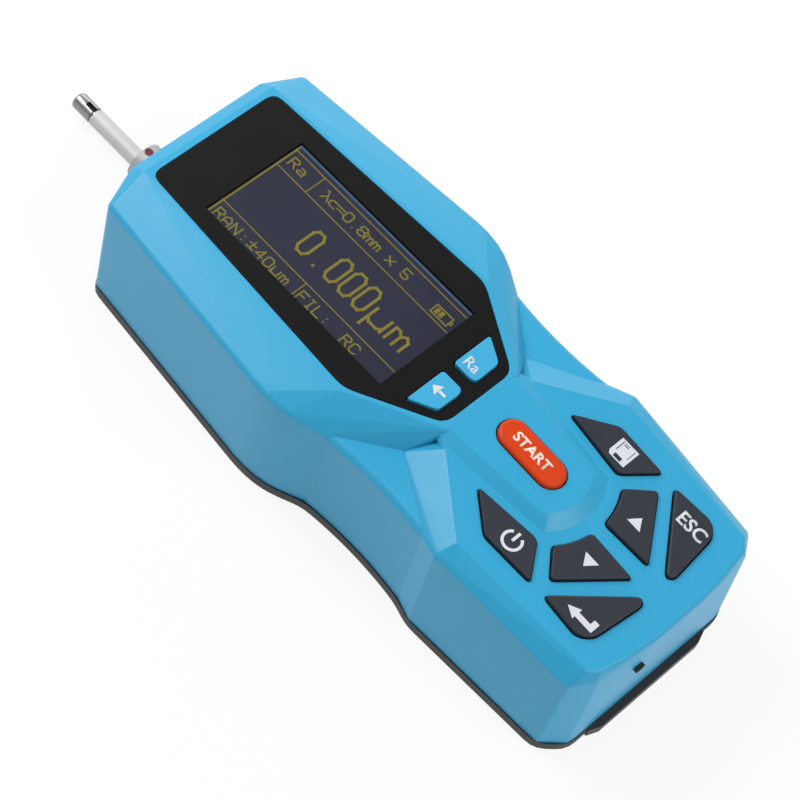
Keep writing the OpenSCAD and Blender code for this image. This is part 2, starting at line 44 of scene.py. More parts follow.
scene.view_settings.view_transform = "Standard"
mm = 0.001  # sizes here are in millimetres, apart from the studio's, which are in metres
upwards = Vector((0, 0, 1))


# Selection and small tools

meshCare = {"mergeGap": 0.002, "flatAngle": 0.3, "flatWeight": 60, "levelNormal": 0.99, "topBand": 0.05}


def clearSelection():
    if bpy.context.mode != "OBJECT":
        bpy.ops.object.mode_set(mode="OBJECT")
    bpy.ops.object.select_all(action="DESELECT")


def pick(piece):
    clearSelection()
    piece.select_set(True)
    bpy.context.view_layer.objects.active = piece


def editWith(piece, kind, test):  # edit mode, with the faces or edges that pass the test selected
    pick(piece)
    bpy.ops.object.mode_set(mode="EDIT")
    bpy.ops.mesh.select_mode(type=kind)
    bpy.ops.mesh.select_all(action="DESELECT")
    bpy.ops.object.mode_set(mode="OBJECT")
    for part in (piece.data.polygons if kind == "FACE" else piece.data.edges):
        part.select = test(part)
    bpy.ops.object.mode_set(mode="EDIT")


def everything(part):
    return True


def editTopRim(piece, up):  # edit mode, with the edges round the level faces at the top selected
    top = max(vertex.co.dot(up) for vertex in piece.data.vertices)

    def atTop(face):
        level = face.normal.dot(up) > meshCare["levelNormal"]
        return level and face.center.dot(up) > top - meshCare["topBand"] * mm

    editWith(piece, "FACE", atTop)
    bpy.ops.mesh.region_to_loop()


def leaveEdit():
    bpy.ops.object.mode_set(mode="OBJECT")


def bevelSelected(width, steps):
    bpy.ops.mesh.bevel(offset=width * mm, segments=steps, profile=0.5, affect="EDGES", clamp_overlap=True)


def faceOutwards():
    bpy.ops.mesh.select_all(action="SELECT")
    bpy.ops.mesh.normals_make_consistent(inside=False)


def applyModifier(piece, kind, **values):
    pick(piece)
    mod = piece.modifiers.new("step", kind)
    for key, value in values.items():
        setattr(mod, key, value)
    bpy.ops.object.modifier_apply(modifier=mod.name)


def smooth(piece, angle):
    pick(piece)
    bpy.ops.object.shade_smooth_by_angle(angle=math.radians(angle))


def smoothFlat(piece, angle):  # smooth edges, with the large faces kept flat
    smooth(piece, angle)
    applyModifier(piece, "WEIGHTED_NORMAL", keep_sharp=True, weight=meshCare["flatWeight"])


def settle(piece):  # place goes into the mesh
    pick(piece)
    bpy.ops.object.transform_apply(location=True, rotation=True, scale=True)
    return piece


def joinAll(name, pieces):
    pick(pieces[0])
    for piece in pieces[1:]:
        piece.select_set(True)
    if len(pieces) > 1:
        bpy.ops.object.join()
    bpy.context.active_object.name = name
    return settle(bpy.context.active_object)


def copyOf(node, name):  # a merged copy of a CAD node, ready for edge work
    piece = bpy.data.objects.new(name, cad[node].data.copy())
    scene.collection.objects.link(piece)
    pick(piece)
    bpy.ops.mesh.customdata_custom_splitnormals_clear()
    bpy.ops.object.mode_set(mode="EDIT")
    bpy.ops.mesh.select_all(action="SELECT")
    bpy.ops.mesh.remove_doubles(threshold=meshCare["mergeGap"] * mm)
    bpy.ops.mesh.dissolve_limited(angle_limit=math.radians(meshCare["flatAngle"]))
    leaveEdit()
    return piece


def finishPiece(piece, finishName, body, node=None):
    piece.data.materials.clear()
    piece.data.materials.append(finishes[finishName])
    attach(piece, body)
    if node:
        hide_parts(node)


# Shader tools

class Flow:
    def __init__(self, paint, socket):
        self.paint = paint
        self.socket = socket

    def math(self, operation, a, b):
        return self.paint.add("ShaderNodeMath", {"operation": operation}, {0: a, 1: b})

    def __add__(self, other):
        return self.math("ADD", self, other)

    __radd__ = __add__

    def __mul__(self, other):
        return self.math("MULTIPLY", self, other)

    __rmul__ = __mul__

    def __sub__(self, other):
        return self.math("SUBTRACT", self, other)

    def __rsub__(self, other):
        return self.math("SUBTRACT", other, self)


class Paint:
    def __init__(self, name, world=False):
        self.material = bpy.data.worlds.new(name) if world else bpy.data.materials.new(name)
        self.material.use_nodes = True
        self.tree = self.material.node_tree
        self.tree.nodes.clear()
        self.out = self.tree.nodes.new("ShaderNodeOutputWorld" if world else "ShaderNodeOutputMaterial")
        self.place = self.add("ShaderNodeTexCoord", {}, {}, "Object")

    def add(self, kind, settings, values, output=0):
        node = self.tree.nodes.new(kind)
        for key, value in settings.items():
            setattr(node, key, value)
        for key, value in values.items():
            if isinstance(value, Flow):
                self.tree.links.new(value.socket, node.inputs[key])
            else:
                node.inputs[key].default_value = value
        return Flow(self, node.outputs[output])

    def noise(self, scale, detail=2.0, at=None):
        values = {"Vector": at or self.place, "Scale": scale, "Detail": detail}
        return self.add("ShaderNodeTexNoise", {}, values)

    def mix(self, share, first, second):  # 6, 7 and 2 are the Mix node's colour sockets
        return self.add("ShaderNodeMix", {"data_type": "RGBA"}, {0: share, 6: first, 7: second}, 2)

    def tones(self, share, colour, dark, light):
        return self.mix(share, shade(colour, dark), shade(colour, light))

    def bump(self, height, strength, depth):
        values = {"Strength": strength, "Distance": depth * mm, "Height": height}
        return self.add("ShaderNodeBump", {}, values)

    def output(self, shader):
        self.tree.links.new(shader.socket, self.out.inputs["Surface"])
        return self.material

    def surface(self, values):
        return self.output(self.add("ShaderNodeBsdfPrincipled", {}, values))


def shade(colour, factor):  # colour as seen on a screen, 0 to 255, made darker or lighter
    def linear(value):
        value /= 255
        return value / 12.92 if value <= 0.04045 else ((value + 0.055) / 1.055) ** 2.4
    return tuple(min(1.0, linear(part) * factor) for part in colour) + (1.0,)


# Finishes: noise scales are per metre, bump depths in millimetres

plasticGrain = {"cloud": 38.0, "patch": 210.0, "patchSpread": 0.10, "bump": 0.35}


def mouldedPlastic(name, colour, rough, grain, depth, spread=0.04, gloss=0.5):
    paint = Paint(name)
    cloud = paint.noise(plasticGrain["cloud"], detail=3.0)
    patch = plasticGrain["patchSpread"] * paint.noise(plasticGrain["patch"], detail=4.0)
    return paint.surface({
        "Base Color": paint.tones(cloud, colour, 1 - spread, 1 + spread),
        "Roughness": rough - plasticGrain["patchSpread"] / 2 + patch,
        "Specular IOR Level": gloss,
        "Normal": paint.bump(paint.noise(grain), plasticGrain["bump"], depth),
    })


metalLines = {"across": 30.0, "dark": 0.86, "light": 1.08, "smoother": 0.06, "spread": 0.14, "bump": 0.25}


def turnedMetal(name, colour, rough, rings, depth, axis, metallic=1.0):
    paint = Paint(name)
    stretch = [metalLines["across"]] * 3
    stretch[axis] = rings  # fine lines round the turning axis
    place = paint.add("ShaderNodeVectorMath", {"operation": "MULTIPLY"}, {0: paint.place, 1: stretch})
    lines = paint.noise(1.0, detail=4.0, at=place)
    return paint.surface({
        "Base Color": paint.tones(lines, colour, metalLines["dark"], metalLines["light"]),
        "Metallic": metallic,
        "Roughness": rough - metalLines["smoother"] + metalLines["spread"] * lines,
        "Normal": paint.bump(lines, metalLines["bump"], depth),
    })


boardPattern = {"tracks": 420.0, "patch": 600.0, "dark": 0.7, "light": 1.5, "rough": 0.3, "spread": 0.2,
    "bump": 0.2, "depth": 0.05}


def circuitBoard(name, colour):
    paint = Paint(name)
    cells = {"distance": "CHEBYCHEV", "feature": "F1"}
    values = {"Vector": paint.place, "Scale": boardPattern["tracks"]}
    tracks = paint.add("ShaderNodeTexVoronoi", cells, values)
    patch = paint.noise(boardPattern["patch"], detail=1.0)
    return paint.surface({
        "Base Color": paint.tones(patch, colour, boardPattern["dark"], boardPattern["light"]),
        "Roughness": boardPattern["rough"] + boardPattern["spread"] * tracks,
        "Normal": paint.bump(tracks, boardPattern["bump"], boardPattern["depth"]),
    })


glossSmear = {"smear": 60.0, "dark": 0.85, "light": 1.15, "spread": 0.06, "gloss": 0.26, "fine": 900.0,
    "bump": 0.03, "depth": 0.01}


def darkGloss(name, colour, rough, alpha=1.0):
    paint = Paint(name)
    smear = paint.noise(glossSmear["smear"], detail=5.0)
    return paint.surface({
        "Base Color": paint.tones(smear, colour, glossSmear["dark"], glossSmear["light"]),
        "Roughness": rough + glossSmear["spread"] * smear,
        "Specular IOR Level": glossSmear["gloss"],
        "Alpha": alpha,
        "Normal": paint.bump(paint.noise(glossSmear["fine"]), glossSmear["bump"], glossSmear["depth"]),
    })


markDots = {"dots": 2600.0, "dark": 0.75, "light": 1.15, "rough": 0.5}


def litMark(name, colour, glow):
    paint = Paint(name)
    dots = paint.noise(markDots["dots"], detail=1.0)
    tone = paint.tones(dots, colour, markDots["dark"], markDots["light"])
    return paint.surface({
        "Base Color": tone,
        "Roughness": markDots["rough"],
        "Emission Color": tone,
        "Emission Strength": glow,
    })


panelGrid = {"grid": 2500.0, "share": 0.12, "gridDark": 0.5, "cloud": 45.0, "dark": 0.85, "light": 1.2,
    "rough": 0.35, "spread": 0.1}


def screenGlow(name, colour):
    paint = Paint(name)
    grid = paint.add("ShaderNodeTexChecker", {}, {"Vector": paint.place, "Scale": panelGrid["grid"]}, 1)
    cloud = paint.noise(panelGrid["cloud"])
    tone = paint.tones(cloud, colour, panelGrid["dark"], panelGrid["light"])
    return paint.surface({
        "Base Color": paint.mix(panelGrid["share"] * grid, tone, shade(colour, panelGrid["gridDark"])),
        "Roughness": panelGrid["rough"] + panelGrid["spread"] * cloud,
    })


plastics = {
    "satinBluePlastic": {"colour": (43, 156, 198), "rough": 0.42, "grain": 5200, "depth": 0.04,
        "gloss": 0.42},
    "grainedBlackPlastic": {"colour": (30, 31, 32), "rough": 0.55, "grain": 3000, "depth": 0.08,
        "spread": 0.12},
    "innerBlackPlastic": {"colour": (14, 15, 18), "rough": 0.5, "grain": 3000, "depth": 0.06, "spread": 0.1},
    "softKeyPlastic": {"colour": (54, 161, 203), "rough": 0.36, "grain": 5200, "depth": 0.03},
    "startKeyPlastic": {"colour": (202, 58, 3), "rough": 0.46, "grain": 5200, "depth": 0.03, "gloss": 0.26},
    "keyRubber": {"colour": (34, 39, 48), "rough": 0.52, "grain": 4200, "depth": 0.05, "spread": 0.08,
        "gloss": 0.42},
    "lightPrint": {"colour": (205, 209, 216), "rough": 0.5, "grain": 5200, "depth": 0.01},
    "whitePrint": {"colour": (240, 220, 208), "rough": 0.5, "grain": 5200, "depth": 0.01},
    "redMark": {"colour": (118, 18, 34), "rough": 0.4, "grain": 3000, "depth": 0.03},
    "batterySleeve": {"colour": (84, 88, 98), "rough": 0.4, "grain": 900, "depth": 0.04},
}
metals = {
    "satinTube": {"colour": (200, 199, 197), "rough": 0.62, "rings": 1100, "depth": 0.003, "axis": 0,
        "metallic": 0.5},
    "polishedNose": {"colour": (152, 152, 151), "rough": 0.36, "rings": 1100, "depth": 0.001, "axis": 0},
    "brightCollar": {"colour": (176, 176, 174), "rough": 0.58, "rings": 1100, "depth": 0.003, "axis": 0,
        "metallic": 0.5},
    "darkSteel": {"colour": (52, 52, 54), "rough": 0.38, "rings": 1500, "depth": 0.006, "axis": 0},
    "groundSteel": {"colour": (190, 190, 190), "rough": 0.34, "rings": 1500, "depth": 0.01, "axis": 2},
    "milledFrame": {"colour": (165, 168, 172), "rough": 0.42, "rings": 1200, "depth": 0.02, "axis": 1},
    "cutBrass": {"colour": (196, 160, 84), "rough": 0.3, "rings": 1500, "depth": 0.01, "axis": 0},
}
finishes = {
    "printedWindow": darkGloss("printedWindow", (8, 8, 9), rough=0.30),
    "clearPane": darkGloss("clearPane", (12, 12, 14), rough=0.14, alpha=0.14),
    "displayPanel": screenGlow("displayPanel", (47, 49, 72)),
    "displayMarks": litMark("displayMarks", (150, 138, 46), glow=0.10),
    # painted highlight: a faint blue glow for the screen's far edge
    "paintedEdgeHighlight": litMark("paintedEdgeHighlight", (84, 124, 160), glow=0.05),
    "circuitBoard": circuitBoard("circuitBoard", (24, 92, 58)),
}
for finishName, look in plastics.items():
    finishes[finishName] = mouldedPlastic(finishName, **look)
for finishName, look in metals.items():
    finishes[finishName] = turnedMetal(finishName, **look)
print("finishes made:", len(finishes))

nodeFinishes = {
    "satinBluePlastic": ["upper_housing"],
    "grainedBlackPlastic": ["base_cover"],
    "innerBlackPlastic": ["display_module", "charging_socket", "carriage"],
    "printedWindow": ["display_window"],
    "keyRubber": ["power_key", "save_key", "down_key", "up_key", "enter_key", "escape_key"],
    "startKeyPlastic": ["start_key"],
    "softKeyPlastic": ["soft_key_left", "soft_key_right"],
    "circuitBoard": ["display_board", "keypad_board", "main_board"],
    "batterySleeve": ["battery_pack"],
    "groundSteel": ["key_switches", "drive_motor", "lead_screw", "guide_rods", "housing_screws"],
    "milledFrame": ["drive_frame"],
    "cutBrass": ["motor_pinion", "screw_gear"],
    "satinTube": ["pickup_tube"],
    "polishedNose": ["pickup_nose"],
    "darkSteel": ["stylus_arm"],
    "brightCollar": ["probe_collar"],
    "redMark": ["collar_mark"],
}
for finishName, nodeNames in nodeFinishes.items():
    for nodeName in nodeNames:
        for slotPlace in cad[nodeName].material_slots:
            slotPlace.material = finishes[finishName]


# Housing shell

housing = {"smoothAngle": 24, "endFrom": 38.0, "endSide": 11.0, "endFloor": 32.5, "endSlope": (0.7, 0.997),
    "sliver": 0.12}


def onSpineEnd(face):  # the slope round the free end of the raised spine
    x, y, z = face.center / mm
    steepest, flattest = housing["endSlope"]
    inPlace = x > housing["endFrom"] and abs(y) < housing["endSide"] and z > housing["endFloor"]
    return inPlace and steepest < face.normal.z < flattest


housingShell = copyOf("upper_housing", "housingShell")
editWith(housingShell, "FACE", onSpineEnd)
bpy.ops.mesh.dissolve_degenerate(threshold=housing["sliver"] * mm)  # slivers would break its shading
leaveEdit()
smoothFlat(housingShell, housing["smoothAngle"])
finishPiece(housingShell, "satinBluePlastic", "housing", "upper_housing")
print("housing shell", len(housingShell.data.polygons))


# Keys with rounded tops

keypad = {"x": 45.0, "z": 32.7, "tilt": 3.4, "keyTop": 0.9, "startTop": 2.4, "softTop": 36.45,
    "smoothAngle": 40}
keypadPlace = Matrix.Translation((keypad["x"] * mm, 0, keypad["z"] * mm))
keypadPlace = keypadPlace @ Matrix.Rotation(math.radians(keypad["tilt"]), 4, "Y")
keypadUp = keypadPlace.to_3x3() @ upwards
keyShapes = {
    "keyRubber": {"slot": "key_grey", "up": keypadUp, "round": 0.45, "steps": 4},
    "startKeyPlastic": {"slot": "start_orange", "up": keypadUp, "round": 0.9, "steps": 6},
    "softKeyPlastic": {"slot": "soft_blue", "up": upwards, "round": 0.2, "steps": 3},
}


def roundKey(keyName, finishName, shape):
    first, *others = keyName.split("_")
    cap = copyOf(keyName, first + "".join(part.capitalize() for part in others) + "Cap")
    editTopRim(cap, shape["up"])
    bevelSelected(shape["round"], shape["steps"])
    leaveEdit()
    smoothFlat(cap, keypad["smoothAngle"])
    finishPiece(cap, finishName, keyName, keyName)
    print("key rounded:", cap.name)


for finishName, shape in keyShapes.items():
    for keyName in nodeFinishes[finishName]:
        roundKey(keyName, finishName, shape)


# Window: printed black frame with a clear pane over the display panel

display = {
    "left": -52.9, "right": -1.1, "low": -13.5, "high": 13.1, "cutFrom": 30, "cutTo": 40,
    "rimMargin": 1, "rimRound": 0.12, "rimSteps": 2, "smoothAngle": 35,
    "panelFoot": 34.82, "panelTop": 35.5, "panelGap": 0.05, "panelRound": 0.1,
    "paneFoot": 35.64, "paneTop": 35.94, "paneGap": 0.03, "paneRound": 0.05, "roundSteps": 2,
}


def displayBlock(name, gap, foot, top):  # a block in the display's outline, less a gap all round
    low = Vector((display["left"] + gap, display["low"] + gap, foot)) * mm
    high = Vector((display["right"] - gap, display["high"] - gap, top)) * mm
    clearSelection()
    bpy.ops.mesh.primitive_cube_add(size=1, location=(low + high) / 2)
    piece = bpy.context.active_object
    piece.name = name
    piece.scale = high - low
    return settle(piece)


windowFrame = copyOf("display_window", "windowFrame")
cutter = displayBlock("screenCut", 0, display["cutFrom"], display["cutTo"])
applyModifier(windowFrame, "BOOLEAN", operation="DIFFERENCE", object=cutter, solver="EXACT")
bpy.data.objects.remove(cutter)


def onOuterRim(edge):  # the outer edge of the top face, not that of the cut
    first, second = [windowFrame.data.vertices[at].co for at in edge.vertices]
    middle = (first + second) / 2 / mm
    margin = display["rimMargin"]
    inLength = display["left"] - margin < middle.x < display["right"] + margin
    inWidth = display["low"] - margin < middle.y < display["high"] + margin
    return edge.index in rimEdges and not (inLength and inWidth)


editTopRim(windowFrame, upwards)
leaveEdit()
rimEdges = {edge.index for edge in windowFrame.data.edges if edge.select}
editWith(windowFrame, "EDGE", onOuterRim)
bevelSelected(display["rimRound"], display["rimSteps"])
leaveEdit()
smoothFlat(windowFrame, display["smoothAngle"])
finishPiece(windowFrame, "printedWindow", "housing", "display_window")

panel = displayBlock("displayPanel", display["panelGap"], display["panelFoot"], display["panelTop"])
applyModifier(panel, "BEVEL", width=display["panelRound"] * mm, segments=display["roundSteps"])
finishPiece(panel, "displayPanel", "housing")
pane = displayBlock("displayPane", display["paneGap"], display["paneFoot"], display["paneTop"])
applyModifier(pane, "BEVEL", width=display["paneRound"] * mm, segments=display["roundSteps"])
finishPiece(pane, "clearPane", "housing")
print("window done")


# Flat signs: bars, wedges, rings and words drawn on a plane, then given a thickness

signs = {"thick": 0.04, "sink": 0.01, "markThick": 0.02, "markSink": 0.005, "ringSides": 60, "letterSteps": 3}


def bar(x0, y0, x1, y1):
    clearSelection()
    bpy.ops.mesh.primitive_plane_add(size=1, location=((x0 + x1) / 2 * mm, (y0 + y1) / 2 * mm, 0))
    piece = bpy.context.active_object
    piece.scale = (abs(x1 - x0) * mm, abs(y1 - y0) * mm, 1)
    return settle(piece)


def wedge(*corners):  # a triangle whose corners are moved to their places
    clearSelection()
    bpy.ops.mesh.primitive_circle_add(vertices=3, radius=mm, fill_type="NGON")
    piece = bpy.context.active_object
    for vertex, (x, y) in zip(piece.data.vertices, corners):
        vertex.co = (x * mm, y * mm, 0)
    editWith(piece, "FACE", everything)
    faceOutwards()
    leaveEdit()
    return piece


def ring(x, y, outer, inner, gap):  # a flat ring, open towards +Y by the gap angle
    clearSelection()
    bpy.ops.mesh.primitive_circle_add(vertices=signs["ringSides"], radius=outer * mm, fill_type="NGON",
        location=(x * mm, y * mm, 0))
    piece = settle(bpy.context.active_object)
    editWith(piece, "FACE", everything)
    bpy.ops.mesh.inset(thickness=(outer - inner) * mm)
    bpy.ops.mesh.delete(type="FACE")
    leaveEdit()

    def inGap(face):
        angle = math.atan2(face.center.x - x * mm, face.center.y - y * mm)
        return abs(math.degrees(angle)) < gap / 2

    editWith(piece, "FACE", inGap)
    bpy.ops.mesh.delete(type="FACE")
    leaveEdit()
    return piece


def word(letters, x, y, size, heavy, stretch=1.0):  # heavy thickens the strokes
    clearSelection()
    bpy.ops.object.text_add(location=(0, 0, 0))
    text = bpy.context.active_object.data
    text.body = letters
    text.size = size * mm
    text.align_x = "CENTER"
    text.offset = heavy * mm
    text.resolution_u = signs["letterSteps"]
    bpy.ops.object.convert(target="MESH")
    piece = bpy.context.active_object
    piece.location = (x * mm, y * mm, 0)
    piece.scale = (stretch, 1, 1)
    return settle(piece)


def raiseSign(name, flats, place, thickness, finishName, body):
    sign = joinAll(name, flats)
    editWith(sign, "FACE", everything)
    bpy.ops.mesh.normals_make_consistent(inside=False)
    bpy.ops.mesh.extrude_region_move(TRANSFORM_OT_translate={"value": (0, 0, thickness * mm)})
    faceOutwards()
    leaveEdit()
    sign.matrix_world = place
    settle(sign)
    finishPiece(sign, finishName, body)


def lifted(height):
    return Matrix.Translation((0, 0, height * mm))


keyTop = keypadPlace @ lifted(keypad["keyTop"] - signs["sink"])
startTop = keypadPlace @ lifted(keypad["startTop"] - signs["sink"])
softTop = lifted(keypad["softTop"] - signs["sink"])


def keySign(name, keyName, flats):
    raiseSign(name, flats, keyTop, signs["thick"], "lightPrint", keyName)


def softSign(name, keyName, flats):
    raiseSign(name, flats, softTop, signs["thick"], "lightPrint", keyName)


keySign("powerSign", "power_key", [
    ring(-5.48, -15.95, outer=2.35, inner=1.72, gap=70),
    bar(-5.8, -16.0, -5.16, -13.6)])
keySign("upSign", "up_key", [wedge((5.45, 5.8), (9.0, 5.8), (7.22, 8.45))])
keySign("downSign", "down_key", [wedge((5.25, -5.8), (7.07, -8.45), (8.95, -5.8))])
keySign("enterSign", "enter_key", [
    wedge((10.9, -16.55), (13.5, -17.95), (13.5, -15.15)),
    bar(13.45, -17.2, 17.95, -15.95),
    bar(16.6, -15.95, 17.95, -14.65)])
keySign("escapeSign", "escape_key", [word("ESC", 14.85, 13.75, size=4.3, heavy=0.09)])
startWord = word("START", -16.45, -1.1, size=3.2, heavy=0.09, stretch=1.04)
raiseSign("startSign", [startWord], startTop, signs["thick"], "whitePrint", "start_key")
keySign("saveSign", "save_key", [
    bar(-7.05, 13.15, -3.0, 17.95),
    bar(-7.6, 13.95, -7.05, 17.95),
    wedge((-7.6, 13.95), (-7.05, 13.15), (-7.05, 13.95))])
saveMarks = [
    bar(-6.3, 13.45, -4.35, 14.35),
    bar(-6.85, 15.0, -6.65, 17.6),
    bar(-6.35, 16.9, -5.1, 17.1),
    bar(-6.35, 17.35, -5.1, 17.5),
    bar(-3.75, 14.9, -3.6, 17.6)]
saveMarkTop = keyTop @ lifted(signs["thick"] - signs["markSink"])
raiseSign("saveSignMarks", saveMarks, saveMarkTop, signs["markThick"], "keyRubber", "save_key")
softSign("softSignFar", "soft_key_left", [word("Ra", 7.3, 2.75, size=3.7, heavy=0.04)])
softSign("softSignNear", "soft_key_right", [
    wedge((5.6, -5.5), (7.4, -6.9), (7.4, -4.1)),
    bar(7.3, -5.8, 9.2, -5.2)])
print("key signs done")


# Characters of the display as strokes on a grid, column then row, with the base line on row 2

strokes = {
    "0": ["12 32 43 47 38 18 07 03 12"],
    "4": ["32 38 04 44"],
    "5": ["48 08 05 35 44 43 32 12 03"],
    "8": ["15 35 44 43 32 12 03 04 15 06 07 18 38 47 46 35"],
    ".": ["22 22"],
    ":": ["23 23", "26 26"],
    "=": ["04 44", "06 46"],
    "\u00b1": ["24 28", "06 46", "03 43"],
    "R": ["02 08 38 47 46 35 05", "25 42"],
    "A": ["02 06 28 46 42", "04 44"],
    "N": ["02 08 42 48"],
    "F": ["02 08 48", "05 35"],
    "I": ["12 32", "22 28", "18 38"],
    "L": ["08 02 42"],
    "C": ["47 38 18 07 03 12 32 43"],
    "a": ["16 36 45 42 12 03 14 44"],
    "c": ["46 16 05 03 12 42"],
    "m": ["02 06 16 25 22", "25 36 45 42"],
    "x": ["02 46", "06 42"],
    "\u03bb": ["08 18 42", "25 02"],
    "\u00b5": ["00 06", "03 12 32 43", "46 42"],
}
marks = {"thick": 0.06, "sink": 0.03, "lift": 0.0015, "columns": 4, "rows": 6, "baseRow": 2,
    "leftInset": 0.35, "rightInset": 0.4}


def dash(start, end, thick, lift):
    clearSelection()
    run = Vector(end) - Vector(start)
    middle = (Vector(end) + Vector(start)) / 2 * mm
    spot = (middle.x, middle.y, lift * mm)
    bpy.ops.mesh.primitive_plane_add(size=1, location=spot, rotation=(0, 0, math.atan2(run.y, run.x)))
    piece = bpy.context.active_object
    piece.scale = ((run.length + thick) * mm, thick * mm, 1)
    return settle(piece)


def lcdText(letters, x, y, width, height, pitch, thick):
    flats = []
    for at, letter in enumerate(letters):
        lift = 0  # each dash of a character lies a hair higher than the last
        for stroke in strokes.get(letter, []):
            spots = []
            for column, row in stroke.split():
                along = int(column) * width / marks["columns"]
                above = (int(row) - marks["baseRow"]) * height / marks["rows"]
                spots.append((x + at * pitch + along, y + above))
            for start, end in zip(spots, spots[1:]):
                flats.append(dash(start, end, thick, lift))
                lift += marks["lift"]
    return flats


small = {"width": 1.75, "height": 2.3, "thick": 0.32}
large = {"width": 2.9, "height": 6.6, "thick": 0.62}
unit = {"width": 4.2, "height": 5.4, "thick": 0.62}
texts = [
    {"letters": "Ra", "x": -51.1, "y": 7.5, "pitch": 2.45, **small},
    {"letters": "\u03bbc=0.8mm x 5", "x": -41.0, "y": 7.4, "pitch": 2.14, **small},
    {"letters": "RAN:\u00b140\u00b5m", "x": -51.3, "y": -13.0, "pitch": 2.46, **small},
    {"letters": "FIL:", "x": -26.4, "y": -13.0, "pitch": 2.3, **small},
    {"letters": "RC", "x": -13.6, "y": -13.0, "pitch": 2.5, **small},
    {"letters": "0.000", "x": -35.3, "y": -5.2, "pitch": 4.15, **large},
    {"letters": "\u00b5m", "x": -14.2, "y": -5.2, "pitch": 5.6, **unit},
]
left = display["left"] + marks["leftInset"]
right = display["right"] - marks["rightInset"]
rules = [
    ((left + 0.2, -13.1), (left + 0.2, 12.0), 0.42),  # left edge
    ((left, 11.25), (right, 11.25), 0.24),  # over and under the top line of text
    ((left, 5.6), (right, 5.6), 0.22),
    ((left, -9.1), (right, -9.1), 0.22),  # over the bottom line of text
    ((-43.6, 5.7), (-43.6, 11.1), 0.24),  # between the entries of each line
    ((-27.3, -13.1), (-27.3, -9.2), 0.24),
    ((-7.4, 6.55), (-2.8, 6.55), 0.3),  # battery sign: four sides, tip and two bars
    ((-7.4, 8.85), (-2.8, 8.85), 0.3),
    ((-7.4, 6.6), (-7.4, 8.8), 0.3),
    ((-2.8, 6.6), (-2.8, 8.8), 0.3),
    ((-2.35, 7.4), (-2.35, 8.0), 0.4),
    ((-6.4, 7.4), (-6.4, 8.0), 0.9),
    ((-5.2, 7.4), (-5.2, 8.0), 0.9),
]
screenTop = lifted(display["panelTop"] - marks["sink"])


def screenMark(name, flats, finishName):
    raiseSign(name, flats, screenTop, marks["thick"], finishName, "housing")


lines = [dash(start, end, thick, marks["lift"] * at) for at, (start, end, thick) in enumerate(rules)]
letters = [flat for text in texts for flat in lcdText(**text)]
screenMark("displayLines", lines, "displayMarks")
screenMark("displayLetters", letters, "displayMarks")
# painted highlight: a glowing blue strip along the screen's far edge only
screenMark("paintedEdgeHighlight", [bar(left, 12.35, right, 12.75)], "paintedEdgeHighlight")
print("display marks done")


# Pickup and collar with softened ends

turning = {"steps": 3, "edgeAngle": 60, "smoothAngle": 35}
turnedShapes = {
    "pickup_tube": {"name": "pickupTubeShell", "finish": "satinTube", "slot": "satin_steel",
        "body": "carriage", "round": 0.08},
    "pickup_nose": {"name": "pickupNoseShell", "finish": "polishedNose", "slot": "polished_steel",
        "body": "carriage", "round": 0.1},
    "probe_collar": {"name": "probeCollarShell", "finish": "brightCollar", "slot": "polished_steel",
        "body": "housing", "round": 0.3},
}
for nodeName, shape in turnedShapes.items():
    turned = copyOf(nodeName, shape["name"])
    applyModifier(turned, "BEVEL", width=shape["round"] * mm, segments=turning["steps"],
        limit_method="ANGLE", angle_limit=math.radians(turning["edgeAngle"]))
    smoothFlat(turned, turning["smoothAngle"])
    finishPiece(turned, shape["finish"], shape["body"], nodeName)
    print(shape["name"], len(turned.data.polygons), "faces")


# Base cover

base = {"smoothAngle": 30}
baseShell = copyOf("base_cover", "baseShell")
smooth(baseShell, base["smoothAngle"])
finishPiece(baseShell, "grainedBlackPlastic", "housing", "base_cover")
print("base done")


# Lead screw: a two-start thread cut into a copy of the plain shaft

thread = {"lead": 2.5, "starts": 2, "turns": 15, "steps": 24, "depth": 0.38, "halfWidth": 0.42, "over": 0.12,
    "begin": 3.2, "smoothAngle": 30}
leadScrew = copyOf("lead_screw", "leadScrewThread")
shaftLow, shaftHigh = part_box("lead_screw")
shaftRadius = (shaftHigh.z - shaftLow.z) / 2
shaftPlace = Vector((shaftLow.x + thread["begin"] * mm, 0, (shaftLow.z + shaftHigh.z) / 2))


def threadGroove(along):  # a helix with a triangular section, which starts this far along the shaft
    clearSelection()
    bpy.ops.mesh.primitive_circle_add(vertices=3, radius=mm, fill_type="NOTHING")
    groove = bpy.context.active_object
    outside = shaftRadius + thread["over"] * mm
    inside = shaftRadius - thread["depth"] * mm
    half = thread["halfWidth"] * mm
    for vertex, (x, z) in zip(groove.data.vertices, [(-half, outside), (half, outside), (0, inside)]):
        vertex.co = (x, 0, z)
    applyModifier(groove, "SCREW", axis="X", screw_offset=thread["lead"] * mm, iterations=thread["turns"],
        steps=thread["steps"], render_steps=thread["steps"])
    editWith(groove, "EDGE", everything)
    bpy.ops.mesh.fill_holes(sides=3)
    faceOutwards()
    leaveEdit()
    groove.location = shaftPlace + Vector((along * mm, 0, 0))
    return settle(groove)


for startNumber in range(thread["starts"]):
    groove = threadGroove(startNumber * thread["lead"] / thread["starts"])
    applyModifier(leadScrew, "BOOLEAN", operation="DIFFERENCE", object=groove, solver="EXACT")
    bpy.data.objects.remove(groove)
smooth(leadScrew, thread["smoothAngle"])
finishPiece(leadScrew, "groundSteel", "screw", "lead_screw")
print("thread cut:", len(leadScrew.data.polygons), "faces")


# Studio: floor, backdrop, lights, camera

studio = {"floorSize": 4.0, "floorDrop": 0.0002, "floorShade": 0.85, "floorGlow": 0.87, "sky": 0.32,
    "backdropTop": 0.30, "backdropFade": 5.0}
white = (1, 1, 1, 1)


